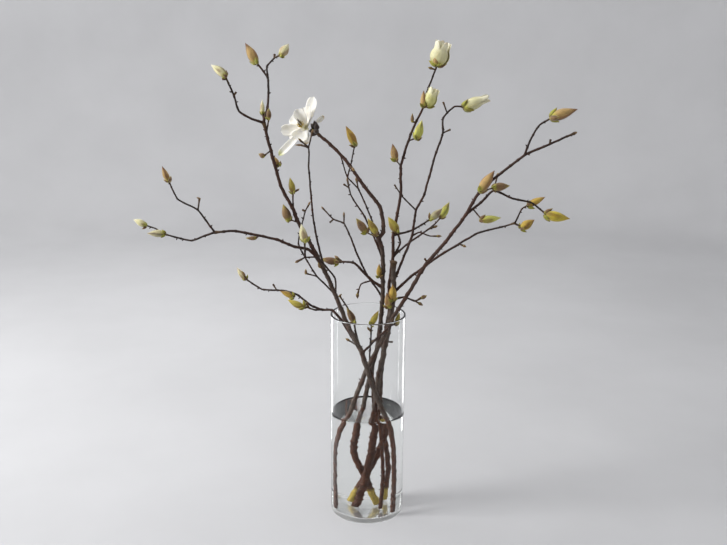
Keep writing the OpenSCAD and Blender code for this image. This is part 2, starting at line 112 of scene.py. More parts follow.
TALL_LEFT = [
    [4.2, 2.0, BARE,
        [[34, lane_tall_left, FOOT_Z], [36, lane_tall_left, 60], [34, lane_tall_left, 110],
         [26, lane_tall_left, 152], [5, lane_tall_left, 205], [-8, lane_tall_left, 250],
         [-30, lane_tall_left, 295], [-45, -28, 335], [-65, -30, 380], [-80, -34, 410],
         [-95, -38, 440], [-100, -40, 455], [-115, -44, 485], [-125, -50, 525],
         [-135, -55, 570]],
        [[7.8, [-5, -3, 4], [LEAF, 8, 4, [-1, 0, 3]]],
         [9.9, [-13, -4, 5], [FLOWER, 23, 12, [-1, 0, 3], "brown"]],
         [12.7, [3, 6, 2], [FLOWER, 18, 8, [-4, 0, 5], "tan"]],
         [13.2, [-10, 4, -8], [LEAF, 9, 7, [-2, 0, 1]]],
         [13.7, [4, -6, 20], [FLOWER, 14, 7, [0, 0, 1], "brown"]],
         [14.0, [-2, 6, 12], [FLOWER, 18, 6, [0, 0, 1], "cream"]]]],
    [1.7, 1.2, [FLOWER, 22, 11, [-4, 0, 3], "cream"],
        [[-135, -55, 570], [-150, -60, 575], [-165, -65, 585], [-170, -70, 605],
         [-180, -75, 630]],
        [[3.0, [3, 0, 4], BARE],
         [3.8, [-5, 0, 0], BARE]]],
    [1.8, 1.2, [FLOWER, 28, 13, [-5, 0, 9], "tan"],
        [[-135, -55, 570], [-130, -50, 590], [-130, -45, 625], [-145, -40, 645]],
        []],
    [1.3, 1.1, [FLOWER, 17, 12, [2, 0, 3], "cream"],
        [[-130, -45, 625], [-130, -50, 640], [-120, -55, 650], [-110, -60, 655]],
        [[2.0, [0, 2, 5], BARE]]],
    [1.2, 1.1, [FLOWER, 20, 9, [-1, 0, 5], "olive"],
        [[-100, -40, 455], [-100, -44, 480]],
        [[0.9, [6, 0, 4], [LEAF, 5, 3]]]],
    [2.2, 1.6, BARE,
        [[-65, -30, 380], [-80, -36, 400], [-100, -42, 405], [-120, -46, 415],
         [-155, -56, 425], [-175, -62, 430], [-200, -70, 430]],
        [[3.7, [-5, 4, -4], [LEAF, 15, 6, [-1, 0, 0]]]]],
    [1.5, 1.1, [FLOWER, 22, 10, [-1, 0, 0], "grey"],
        [[-200, -70, 430], [-215, -73, 425], [-230, -75, 420], [-250, -78, 425],
         [-265, -80, 430]],
        []],
    [1.1, 0.9, [FLOWER, 17, 9, [-2, 0, 1], "cream"],
        [[-265, -80, 430], [-275, -74, 435], [-290, -73, 440]],
        []],
    [1.4, 1.0, [FLOWER, 20, 8, [-2, 0, 5], "tan"],
        [[-200, -70, 430], [-210, -72, 445], [-220, -74, 460], [-245, -77, 475],
         [-255, -80, 500]],
        [[2.0, [2, 4, 14], [LEAF, 6, 3, [-2, 0, 1]]]]],
    [1.3, 1.1, [LEAF, 6, 4, [-2, 0, -1]],
        [[-45, -28, 335], [-45, -36, 360], [-60, -38, 380], [-70, -40, 390], [-85, -42, 390],
         [-95, -42, 385]],
        []],
    [1.4, 1.2, [FLOWER, 24, 11, [-1, 0, 5], "cream"],
        [[-85, -42, 390], [-85, -46, 415]],
        []],
    [1.3, 0.9, [LEAF, 6, 3],
        [[-45, -28, 335], [-70, -26, 360], [-80, -24, 375], [-95, -24, 405], [-85, -26, 450],
         [-80, -28, 460]],
        [[1.0, [-15, -3, 5], [LEAF, 8, 4, [0, 0, 1]]],
         [4.0, [-4, 0, 2], BARE]]],
    [1.7, 1.0, [LEAF, 6, 3],
        [[-45, -28, 335], [-60, -22, 370], [-70, -20, 410], [-75, -21, 440], [-80, -25, 510],
         [-80, -28, 535], [-90, -32, 545]],
        [[5.0, [5, 4, 20], [LEAF, 6, 3]],
         [5.0, [-10, 4, 3], [LEAF, 10, 3, [-1, 0, 0]]]]],
    [1.7, 1.2, BARE,
        [[-8, lane_tall_left, 250], [10, -27, 270], [25, -28, 285], [35, -28, 300]],
        []],
]

BLOSSOM = [
    [3.9, 2.2, BARE,
        [[10, lane_blossom, FOOT_Z], [0, lane_blossom, 45], [-13, lane_blossom, 90],
         [-10, lane_blossom, 130], [5, lane_blossom, 210], [15, lane_blossom, 255],
         [20, lane_blossom, 315], [20, lane_blossom, 385], [15, 10, 405], [20, 10, 415],
         [20, 11, 430], [15, 12, 450], [-5, 14, 475], [-30, 20, 510], [-55, 27, 535],
         [-75, 32, 550]],
        [[6.4, [-5, -2, 10], [FLOWER, 18, 8, [0, 0, 1], "gold"]],
         [8.0, [-20, 0, 10], [FLOWER, 24, 12, [-2, 0, 3], "brown"]],
         [8.0, [-4, -1, 8], [FLOWER, 26, 11, [-3, 0, 5], "olive"]],
         [12.9, [5, -5, -5], [LEAF, 6, 4]]]],
    [2.2, 1.5, [FLOWER, 24, 11, [-5, 0, 1], "brown"],
        [[20, lane_blossom, 335], [5, 10, 345], [-10, 10, 360], [-20, 11, 370],
         [-45, 16, 370]],
        [[3.6, [-8, 4, 5], [LEAF, 8, 4]]]],
    [1.2, 1.0, [LEAF, 8, 5, [0, 0, -1]],
        [[5, 10, 345], [-10, 8, 340], [-15, 8, 325]],
        []],
]

ARCHING = [
    [2.2, 1.0, [LEAF, 5, 3],
        [[15, lane_arching, FOOT_Z], [18, lane_arching, 60], [15, lane_arching, 110],
         [8, lane_arching, 160], [8, lane_arching, 205], [14, lane_arching, 255],
         [20, lane_arching, 315], [0, 28, 345], [-15, 32, 375], [-25, 36, 400],
         [-35, 41, 420], [-50, 45, 425], [-65, 50, 440]],
        [[10.0, [0, 2, 12], [LEAF, 6, 3]],
         [11.0, [-5, 1, -5], BARE]]],
    [1.6, 1.0, [LEAF, 6, 3],
        [[20, lane_arching, 315], [20, 28, 370], [-5, 34, 430], [-25, 42, 460],
         [-30, 48, 480]],
        [[3.5, [-8, 2, 5], BARE]]],
    [1.4, 0.9, [LEAF, 8, 3],
        [[20, 28, 370], [5, 33, 425], [-15, 40, 470], [-30, 46, 485], [-40, 52, 515]],
        [[2.0, [-2, -2, 12], [LEAF, 7, 4]]]],
    [1.1, 1.0, [FLOWER, 30, 12, [-1, 0, 2], "gold"],
        [[-30, 46, 485], [-25, 50, 505], [-20, 56, 530]],
        []],
]

CUT_TOP = [
    [4.5, 3.6, BARE,
        [[-12, lane_cut_top, FOOT_Z], [-2, lane_cut_top, 50], [5, lane_cut_top, 100],
         [10, lane_cut_top, 150], [15, lane_cut_top, 200], [22, lane_cut_top, 240],
         [30, lane_cut_top, 285], [35, lane_cut_top, 320], [35, lane_cut_top, 375]],
        [[5.4, [10, 1, 0], BARE],
         [5.9, [11, 1, 5], [FLOWER, 18, 7, [1, 0, 4], "olive"]],
         [6.7, [-5, -5, 2], [FLOWER, 22, 10, [-1, 0, 7], "tan"]],
         [6.8, [0, -3, 8], [FLOWER, 24, 12, [0, 0, 1], "gold"]]]],
    [1.9, 1.2, [OPENING, 37, 17, [5, 0, 2], "cream"],
        [[35, lane_cut_top, 345], [60, 8, 410], [65, 10, 445], [75, 12, 465], [90, 17, 520],
         [100, 21, 550], [100, 24, 570], [115, 26, 585], [130, 28, 585]],
        [[5.0, [10, -2, 5], BARE],
         [6.4, [-6, 4, 15], BARE]]],
    [1.1, 0.9, BARE,
        [[65, 10, 445], [45, 12, 465], [35, 14, 480]],
        []],
    [1.2, 0.9, [LEAF, 8, 4],
        [[60, 8, 410], [70, 7, 415], [85, 6, 410], [95, 6, 410]],
        []],
    [2.1, 1.2, BARE,
        [[35, lane_cut_top, 330], [55, 0, 350], [100, 0, 385], [125, 2, 400], [150, 3, 415],
         [185, 2, 425], [200, 0, 430]],
        [[3.0, [6, -3, -2], [LEAF, 6, 4]]]],
    [1.2, 1.0, [FLOWER, 25, 10, [2, 0, 1], "gold"],
        [[200, 0, 430], [210, 3, 450], [220, 6, 455]],
        []],
    [1.2, 1.1, [FLOWER, 21, 13, [3, 0, 2], "gold"],
        [[200, 0, 430], [210, -4, 425]],
        []],
    [1.6, 1.2, [LEAF, 9, 6],
        [[35, lane_cut_top, 320], [50, -4, 325], [65, -6, 320], [75, -7, 325]],
        [[2.0, [6, 2, -4], [LEAF, 9, 5]]]],
]

TALL_RIGHT = [
    [3.5, 1.3, [OPENING, 34, 28, [1, 0, 4], "cream"],
        [[-15, lane_tall_right, FOOT_Z], [-5, lane_tall_right, 40], [10, lane_tall_right, 85],
         [17, lane_tall_right, 120], [20, lane_tall_right, 200], [23, lane_tall_right, 250],
         [30, lane_tall_right, 295], [30, 22, 335], [35, 28, 375], [35, 33, 405],
         [45, 44, 460], [45, 52, 500], [55, 58, 535], [65, 63, 560], [75, 67, 580],
         [80, 72, 600], [95, 77, 640]],
        [[11.0, [-8, -3, 10], [FLOWER, 24, 11, [-1, 0, 5], "tan"]],
         [12.0, [12, -5, 5], [FLOWER, 27, 13, [1, 0, 4], "lime"]],
         [13.0, [-5, -4, 2], [LEAF, 13, 5, [0, 0, 1]]],
         [14.0, [0, -8, 4], [FLOWER, 22, 9, [0, 0, 1], "tan"]],
         [14.0, [6, -4, 4], [OPENING, 28, 20, [2, 0, 5], "pale"]],
         [15.8, [-6, -4, 2], [LEAF, 8, 4]],
         [16.0, [-3, -8, 0], [FLOWER, 20, 9, [0, 0, 1], "tan"]]]],
    [1.7, 1.3, [FLOWER, 26, 13, [-3, 0, 5], "olive"],
        [[35, 28, 375], [45, 32, 395], [40, 35, 410]],
        []],
    [1.7, 1.2, [FLOWER, 23, 11, [1, 0, 1], "grey"],
        [[35, 33, 405], [60, 40, 410], [80, 48, 420], [90, 55, 425]],
        []],
    [1.6, 1.1, [FLOWER, 26, 12, [1, 0, 2], "lime"],
        [[35, 28, 375], [55, 42, 390], [80, 55, 405], [95, 62, 415], [105, 68, 425]],
        [[2.3, [10, -4, 5], [LEAF, 7, 4]]]],
]

FAR_RIGHT = [
    [4.2, 1.4, [LEAF, 5, 4],
        [[-41, lane_far_right, FOOT_Z], [-42, lane_far_right, 60], [-41, lane_far_right, 105],
         [-27, lane_far_right, 148], [-12, lane_far_right, 195], [2, lane_far_right, 230],
         [18, lane_far_right, 262], [35, lane_far_right, 300], [50, -18, 325],
         [80, -23, 380], [100, -28, 405], [130, -34, 450], [145, -40, 480],
         [160, -43, 495], [200, -52, 530], [230, -58, 545], [260, -64, 560]],
        [[9.0, [-4, 0, 5], BARE],
         [12.0, [1, -7, 4], [FLOWER, 32, 14, [2, 0, 3], "tan"]],
         [12.0, [20, 4, 5], [FLOWER, 22, 12, [8, 0, 1], "brown"]],
         [15.0, [1, 0, 6], BARE]]],
    [1.9, 1.2, [FLOWER, 33, 14, [6, 0, -1], "yellow"],
        [[130, -34, 450], [150, -31, 465], [165, -29, 480], [190, -32, 470],
         [215, -36, 465], [235, -41, 450]],
        [[0.4, [12, -6, -14], [FLOWER, 27, 11, [8, 0, 1], "lime"]],
         [2.0, [5, 3, 20], [LEAF, 5, 4]]]],
    [1.5, 1.2, [FLOWER, 34, 14, [3, 0, 1], "tan"],
        [[200, -52, 530], [205, -58, 550], [215, -64, 570], [230, -69, 580]],
        []],
    [1.3, 1.1, [FLOWER, 23, 9, [1, 0, 2], "olive"],
        [[2, lane_far_right, 230], [5, -17, 290]],
        [[0.5, [3, 0, 4], [LEAF, 6, 4]],
         [0.8, [-3, 0, 4], [LEAF, 6, 4]]]],
]

BRANCHES = {
    "tall_left": TALL_LEFT, "low_left": LOW_LEFT, "blossom": BLOSSOM, "arching": ARCHING,
    "cut_top": CUT_TOP, "tall_right": TALL_RIGHT, "far_right": FAR_RIGHT,
}
YELLOW_FEET = {"blossom": 26, "tall_right": 24, "arching": 20}  # bare yellow ends, length in mm

BLOOM_CUP = Vector((-77, 33, 553))      # middle of the cup of dark scales
BLOOM_AT = Vector((-87, 31, 556))       # where the tepals spring from
BLOOM_AXIS = Vector((-1, -0.5, 0.2)).normalized()
HEART_AT = Vector((-92, 28, 556))
HEART_AXIS = Vector((-0.35, -0.5, 0.8)).normalized()


# ---------------------------------------------------------------- shapes

HINT = Vector((0.2, 1, 0.3))  # tells axes_for which way to turn
PULL = 0.45                   # how far a curve is pulled to the straight lines between its points


def mix(a, b, t):
    """Part of the way t from colour a to colour b."""
    return tuple(p + (q - p) * t for p, q in zip(a, b))


def ramp(x, low, high):
    """Rises smoothly from 0 at low to 1 at high."""
    t = min(1, max(0, (x - low) / (high - low)))
    return t * t * (3 - 2 * t)


def axes_for(direction, hint=HINT):
    """Two directions square to this one and to each other."""
    d = direction.normalized()
    s = (hint - hint.dot(d) * d).normalized()
    return s, d.cross(s)


def around(angle, s, t):
    """The direction at an angle in the plane of s and t."""
    return math.cos(angle) * s + math.sin(angle) * t


def noise_round(angle, r, z):
    """Noise on a cylinder of radius r, so that it joins up all round."""
    return noise.noise(Vector((math.cos(angle) * r, math.sin(angle) * r, z)))


class Shape:
    """Collects vertices in mm with a colour and a grain vector, and makes a piece of them."""

    def __init__(self):
        self.points, self.faces, self.paint, self.grain = [], [], [], []

    def add(self, point, paint, grain):
        self.points.append(Vector(point) * MM)
        self.paint.append((*paint[:3], 1))
        self.grain.append(tuple(grain))
        return len(self.points) - 1

    def rings(self, rings):
        """Faces between rings of vertex numbers, each ring as long as the next."""
        for a, b in zip(rings, rings[1:]):
            n = len(a)
            for k in range(n):
                j = (k + 1) % n
                self.faces.append((a[k], a[j], b[j], b[k]))

    def fan(self, ring, centre, flip=False):
        """Faces from a ring to one vertex in its middle."""
        n = len(ring)
        for k in range(n):
            a, b = ring[k], ring[(k + 1) % n]
            self.faces.append((b, a, centre) if flip else (a, b, centre))

    def piece(self, name, material, body, slot, *nodes):
        mesh = bpy.data.meshes.new(name)
        mesh.from_pydata(self.points, [], self.faces)
        paint = mesh.color_attributes.new("paint", "FLOAT_COLOR", "POINT")
        paint.data.foreach_set("color", [c for p in self.paint for c in p])
        grain = mesh.attributes.new("grain", "FLOAT_VECTOR", "POINT")
        grain.data.foreach_set("vector", [c for g in self.grain for c in g])
        mesh.polygons.foreach_set("use_smooth", [True] * len(mesh.polygons))
        mesh.update()
        obj = bpy.data.objects.new(name, mesh)
        bpy.context.scene.collection.objects.link(obj)
        obj.data.materials.append(material)
        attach(obj, body)
        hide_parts(*nodes)
        return obj


def smooth_route(route, radii, step):
    """A curve near the route's points: [point, radius, distance along it], about every step."""
    pts = [Vector(p) for p in route]
    if len(pts) == 2:
        pts = [pts[0], (pts[0] + pts[1]) / 2, pts[1]]
        radii = [radii[0], (radii[0] + radii[1]) / 2, radii[1]]
    ext = [2 * pts[0] - pts[1]] + pts + [2 * pts[-1] - pts[-2]]
    out, s = [], 0
    for i in range(len(pts) - 1):
        p0, p1, p2, p3 = ext[i:i + 4]
        ta = (p1 - p0).length ** 0.5
        tb = ta + (p2 - p1).length ** 0.5
        tc = tb + (p3 - p2).length ** 0.5
        n = max(2, round((p2 - p1).length / step))
        for k in range(n + (i == len(pts) - 2)):
            u = k / n
            t = ta + (tb - ta) * u
            a1 = p0 * (ta - t) / ta + p1 * t / ta
            a2 = p1 * (tb - t) / (tb - ta) + p2 * (t - ta) / (tb - ta)
            a3 = p2 * (tc - t) / (tc - tb) + p3 * (t - tb) / (tc - tb)
            b1 = a1 * (tb - t) / tb + a2 * t / tb
            b2 = a2 * (tc - t) / (tc - ta) + a3 * (t - ta) / (tc - ta)
            p = b1 * (tb - t) / (tb - ta) + b2 * (t - ta) / (tb - ta)
            p = p.lerp(p1.lerp(p2, u), PULL)
            if out:
                s += (p - out[-1][0]).length
            out.append([p, radii[i] + (radii[i + 1] - radii[i]) * u, s])
    return out


def along(route, f):
    """The point at place f along a route, counted in points."""
    i = min(int(f), len(route) - 2)
    return Vector(route[i]).lerp(Vector(route[i + 1]), f - i)


def heading(line, i):
    """The way a smooth route runs at its point i."""
    return (line[min(i + 1, len(line) - 1)][0] - line[max(i - 1, 0)][0]).normalized()


def route_radii(limb):
    """The radius at each point of a limb's route."""
    start_r, end_r, _, route, _ = limb
    last = len(route) - 1
    return [start_r + (end_r - start_r) * i / last for i in range(last + 1)]


# ---------------------------------------------------------------- wood

THIN_BARK = (0.024, 0.012, 0.008)
OLD_BARK = (0.078, 0.056, 0.043)
RED_BARK = (0.054, 0.020, 0.011)
WET_BARK = (0.066, 0.021, 0.008)
TWIG_TIP = (0.075, 0.042, 0.018)
YELLOW_WOOD = (0.40, 0.30, 0.06)
SAWN_WOOD = (0.42, 0.33, 0.20)
TWIG_R, LIMB_R, TRUNK_R = 1.3, 2.3, 3.5  # radii at which bark is thin, red and old, in mm
WANDER = 0.26  # how far a stem strays from its route, in radii
GIRTH = 0.94   # a stem's girth between its scars, to its CAD radius
FLARE = 0.5    # how much it swells where it leaves a thicker one
NECK = 0.55    # how much it swells at its tip
SCAR_SWELL = (0.12, 0.34)
SCAR_WIDTH = (0.7, 1.5)
SCAR_GAP = (7, 20)
SPOT_R = 0.9   # radius of a lenticel
SPOT_GAP = 2.2
RIDGE, LUMP, SPOT_H = 0.07, 0.055, 0.07  # heights of ridges, lumps and lenticels, in radii


def bark_paint(point, r, foot_mm, tip_mm, yellow):
    """Colour of the bark at a point: thin, old, wet, near a bud, or bare and yellow at the foot."""
    c = mix(THIN_BARK, RED_BARK, 0.8 * ramp(r, TWIG_R, LIMB_R))
    c = mix(c, OLD_BARK, ramp(r, LIMB_R, TRUNK_R))
    c = mix(c, RED_BARK, 0.7 * ramp(noise.noise(Vector(point) / 21), 0.05, 0.4))
    c = mix(c, TWIG_TIP, 1 - ramp(tip_mm, 2, 14))
    c = mix(c, WET_BARK, 1 - ramp(point.z, WATER_LEVEL - 2, WATER_LEVEL + 3))
    tone = 1 + 0.55 * noise.noise(Vector(point) / 6)
    c = tuple(x * tone for x in c)
    if yellow:
        c = mix(c, YELLOW_WOOD, 1 - ramp(foot_mm, yellow - 6, yellow + 2))
    return c


def keep_clear(where):
    """Moves a point of a stem that would be in the glass's floor or wall just clear of it."""
    gap = 0.4
    where.z = max(where.z, FLOOR_H + gap)
    low = max(0, FLOOR_H + INNER_ROUND - where.z)
    room = INNER_R - gap - INNER_ROUND + math.sqrt(INNER_ROUND ** 2 - low ** 2)
    out = math.hypot(where.x, where.y)
    if where.z < VASE_H and room < out < VASE_R:
        where.x *= room / out
        where.y *= room / out


def stem_marks(rnd, total):
    """A stem's ring scars, [place, swell, width], and its lenticels, [place, angle]."""
    scars, s = [], rnd.uniform(4, 14)
    while s < total - 3:
        scars.append((s, rnd.uniform(*SCAR_SWELL), rnd.uniform(*SCAR_WIDTH)))
        s += rnd.uniform(*SCAR_GAP)
    spots = [(rnd.uniform(0, total), rnd.uniform(0, TAU)) for _ in range(int(total / SPOT_GAP))]
    return scars, sorted(spots)


def girth(s, r, total, scars, sawn):
    """How thick a stem is at distance s along it, to its CAD radius r."""
    grow = GIRTH + FLARE * math.exp(-s / (1.6 * r)) * (not sawn)
    grow += NECK * math.exp(-((total - s) / 4) ** 2)
    for at, high, wide in scars:
        grow += high * math.exp(-(((s - at) / wide) ** 2))
    return grow


def stem_end(shape, ring, line, first, cut):
    """Closes one end of a stem: flat where it is cut, and else slightly domed."""
    p, r, s = line[0] if first else line[-1]
    out = (p - line[1 if first else -2][0]).normalized()
    paint = SAWN_WOOD if cut else bark_paint(p, r, FAR, 0, 0)
    edge, middle = (0, 0) if cut else (0.35 * r, 0.5 * r)
    inner = [shape.add(p + 0.55 * (shape.points[v] / MM - p) + out * edge, paint, (0, 0, s))
             for v in ring]
    shape.rings([inner, ring] if first else [ring, inner])
    shape.fan(inner, shape.add(p + out * middle, paint, (0, 0, s)), flip=first)


def stem(shape, route, radii, seed, sides, step, sawn=False, yellow=0):
    """A tapering stem with ridges, ring scars, knuckles and lenticels, closed at both ends."""
    line = smooth_route(route, radii, step)
    total = line[-1][2]
    scars, spots = stem_marks(random.Random(seed), total)
    side, rings = HINT, []
    for i, (p, r, s) in enumerate(line):
        d = heading(line, i)
        side = axes_for(d, side)[0]
        other = d.cross(side)
        p = p + WANDER * r * (noise.noise(Vector((s / 9, seed, 0.5))) * side
                              + noise.noise(Vector((s / 9, seed, 9.5))) * other)
        grow = girth(s, r, total, scars, sawn)
        near = [a for at, a in spots if abs(at - s) < SPOT_R]
        ring = []
        for k in range(sides):
            a = TAU * k / sides
            ridge = noise_round(a, 2.6, s / 16 + seed)
            lump = noise.noise(Vector((p.x + math.cos(a) * r, p.y + math.sin(a) * r, p.z)) / 2.6)
            spot = max([max(0, 1 - abs((a - b + math.pi) % TAU - math.pi) * r / SPOT_R)
                        for b in near], default=0)
            out = grow + RIDGE * ridge + LUMP * lump + SPOT_H * spot
            where = p + r * out * around(a, side, other)
            keep_clear(where)
            c = bark_paint(where, r, s if sawn else FAR, total - s, yellow)
            c = mix(c, (c[0] * 1.9 + 0.03, c[1] * 1.8 + 0.02, c[2] * 1.6 + 0.015), 0.6 * spot)
            ring.append(shape.add(where, c, (math.cos(a) * r, math.sin(a) * r, s * 0.22 + seed)))
        rings.append(ring)
    shape.rings(rings)
    stem_end(shape, rings[0], line, True, sawn)
    stem_end(shape, rings[-1], line, False, False)
    return line


# ---------------------------------------------------------------- buds

def nodes_on(shape, line, seed):
    """The small side nodes of a stem, each a stub with a blunt dark tip, over a leaf scar."""
    rnd = random.Random(seed + 0.3)
    total = line[-1][2]
    s = rnd.uniform(8, 20)
    for i, (p, r, at) in enumerate(line):
        if at < s or at > total - 5:
            continue
        s = at + (rnd.uniform(12, 30) if total - at > 34 else rnd.uniform(6, 13))
        d = heading(line, i)
        out = around(rnd.uniform(0, TAU), *axes_for(d))
        c = bark_paint(p, r, FAR, FAR, 0)
        tip = rnd.choice(((0.10, 0.05, 0.02), (0.05, 0.025, 0.015), (0.22, 0.17, 0.04)))
        size = rnd.uniform(1.8, 3.4)
        way = (out + d * rnd.uniform(0.2, 1.0)).normalized()
        foot, high = p + out * r * 0.7, size + 0.25 * r
        end = foot + way * high
        if end.z < VASE_H and end.xy.length > INNER_R - 1:
            continue
        bud(shape, foot, way, high, size * 0.62, (c, c, tip), seed + at, sides=9, rows=6)


def swell(t):
    """Half-width of a bud at part t of its length: round below the middle, pointed at the end."""
    return 0.45 * (1 - t) + 0.72 * math.sin(math.pi * t ** 0.8)


def hair(shape, at, out, lean, size, paint):
    """One short hair: a thin closed spike whose foot is inside the bud."""
    s, t = axes_for(out)
    foot = [shape.add(at - out * 0.15 + 0.06 * around(TAU * k / 3, s, t), paint, at / 4)
            for k in range(3)]
    tip = shape.add(at + (out * 0.35 + lean).normalized() * size, paint, at / 4)
    shape.fan(foot, tip)
    shape.faces.append(tuple(reversed(foot)))


def bud_paint(a, v, wrap, look, seed):
    """Colour of a bud at angle a and part v of its length: stained, and dark along its seam."""
    foot, side_c, tip_c = look
    c = mix(foot, side_c, ramp(v, 0.04, 0.26))
    c = mix(c, tip_c, ramp(v, 0.62, 0.97))
    seam = math.exp(-((wrap - 0.02) / 0.05) ** 2) + math.exp(-((wrap - 1) / 0.04) ** 2)
    c = mix(c, tuple(x * 0.35 for x in c), 0.75 * min(1, seam))
    stain = noise_round(a, 0.9, v * 1.6 + seed * 1.7)
    return mix(c, (c[0] * 0.52, c[1] * 0.38, c[2] * 0.40), 0.8 * ramp(stain, 0.02, 0.3))


def bud(shape, at, direction, length, width, look, seed, hairs=0, sides=22, rows=18):
    """A pointed bud of two wrapped scales, slightly bent, with silky hairs."""
    rnd = random.Random(seed)
    d = Vector(direction).normalized()
    s, t = axes_for(d)
    edge = rnd.uniform(0, TAU)
    bend = rnd.uniform(-0.045, 0.045) * length
    turn = rnd.uniform(0.5, 1.1)
    shift = rnd.uniform(0.9, 1.1)
    rings, spots = [], []
    for j in range(rows + 1):
        v = (j / rows) ** 0.9
        r = width / 2 * max(swell(v), 0.02 if j < rows else 0.012)
        centre = Vector(at) + d * length * v + s * bend * math.sin(math.pi * v)
        ring = []
        for k in range(sides):
            a = TAU * k / sides
            wrap = ((a - edge - turn * v) % TAU) / TAU
            lap = 1 - 0.075 * wrap
            rib = 0.018 * math.sin(9 * a + 5 * v + seed)
            rough = 0.03 * noise_round(a, 2, v * 5 + seed)
            p = centre + r * (lap + rib + rough) * around(a, s, t)
            c = tuple(x * shift for x in bud_paint(a, v, wrap, look, seed))
            grain = (math.cos(a) * 2.2, math.sin(a) * 2.2, v * length * 0.12 + seed)
            ring.append(shape.add(p, c, grain))
            if hairs and 0.05 < v < 0.95:
                spots.append((p, (p - centre).normalized(), c))
        rings.append(ring)
    shape.rings(rings)
    shape.fan(rings[0], shape.add(Vector(at), look[0], (0, 0, seed)), flip=True)
    shape.fan(rings[-1], shape.add(Vector(at) + d * length, look[2], (0, 0, seed)))
    for _ in range(hairs):
        p, out, c = spots[rnd.randrange(len(spots))]
        jitter = Vector((rnd.uniform(-1, 1), rnd.uniform(-1, 1), rnd.uniform(-1, 1))) * 0.35
        hair(shape, p + jitter * 0.4, out, d * 1.3 + jitter, rnd.uniform(0.7, 1.5),
             tuple(min(1, x * 1.5 + 0.06) for x in c))


def bracts(shape, at, direction, length, width, seed, count=3):
    """The small green and brown scales at a bud's foot."""
    rnd = random.Random(seed + 0.5)
    d = Vector(direction).normalized()
    s, t = axes_for(d)
    turn = rnd.uniform(0, TAU)
    for i in range(count):
        out = around(turn + i * TAU / count + rnd.uniform(-0.4, 0.4), s, t)
        high = length * rnd.uniform(0.33, 0.48)
        look = LOOKS[rnd.choice(("leafy", "brown", "leafy"))]
        foot = Vector(at) + out * 0.9 - d * rnd.uniform(1.2, 2.6)
        way = d + out * rnd.uniform(0.7, 1.1) * 2.6 * width / length
        bud(shape, foot, way, high, high * 0.46, look, seed * 3 + i, sides=10, rows=8)


def shell(shape, place, paint_at, thick, seed, rows=16, cols=10):
    """A thin closed shell over the surface place(u, v), u from -1 to 1 across and v from 0 to 1."""
    grid = [[place(2 * k / cols - 1, j / rows) for k in range(cols + 1)] for j in range(rows + 1)]
    layers = []
    for face in (1, -1):
        layer = []
        for j in range(rows + 1):
            ids = []
            for k in range(cols + 1):
                u, v = 2 * k / cols - 1, j / rows
                du = grid[j][min(k + 1, cols)] - grid[j][max(k - 1, 0)]
                dv = grid[min(j + 1, rows)][k] - grid[max(j - 1, 0)][k]
                n = du.cross(dv)
                n = n.normalized() if n.length > 1e-9 else Vector((0, 0, 1))
                edge = (1 - u ** 6) * (1 - v ** 8)
                p = grid[j][k] + face * n * thick / 2 * (0.25 + 0.75 * edge)
                ids.append(shape.add(p, paint_at(u, v), (4 * u, face, 6 * v + seed)))
            layer.append(ids)
        layers.append(layer)
    top, under = layers
    for a, b, c, e in zip(top, top[1:], under, under[1:]):
        for k in range(cols):
            shape.faces.append((a[k], a[k + 1], b[k + 1], b[k]))
            shape.faces.append((c[k + 1], c[k], e[k], e[k + 1]))
        shape.faces.append((a[0], b[0], e[0], c[0]))
        shape.faces.append((b[-1], a[-1], c[-1], e[-1]))
    for k in range(cols):
        shape.faces.append((top[0][k + 1], top[0][k], under[0][k], under[0][k + 1]))
        shape.faces.append((top[-1][k], top[-1][k + 1], under[-1][k + 1], under[-1][k]))


def tepal(shape, at, reach, facing, width, cup, curl, seed, tip_c, narrow):
    """One open tepal from at to at + reach, its face turned to facing, cupped and curled."""
    widest = 0.66
    length = Vector(reach).length
    d = Vector(reach).normalized()
    front = (Vector(facing) - Vector(facing).dot(d) * d).normalized()
    across = front.cross(d)

    def place(u, v):
        half = width / 2 * (narrow + (1 - narrow) * ramp(v, 0, widest))
        half *= max(0.03, math.sqrt(max(0, 1 - (max(0, v - widest) / (1 - widest)) ** 3)))
        bow = curl * length * math.sin(math.pi * v) + 0.25 * curl * length * v * v
        lift = cup * width * (u * u - 0.3) * (half * 2 / width)
        wave = 0.5 * noise.noise(Vector((u * 1.3, v * 2.4, seed))) * min(1, 3 * v)
        return Vector(at) + d * length * v + across * half * u + front * (lift - bow + wave)

    def paint_at(u, v):
        vein = 0.05 * math.sin(11 * u + 2 * noise.noise(Vector((u * 2, v * 4, seed))))
        c = mix((0.70, 0.64, 0.34), (0.94, 0.91, 0.83), ramp(v, 0.0, 0.22))
        c = mix(c, tip_c, ramp(v, 0.80, 1.0))
        return tuple(x * (1 - abs(vein)) for x in c)

    shell(shape, place, paint_at, 0.7, seed)


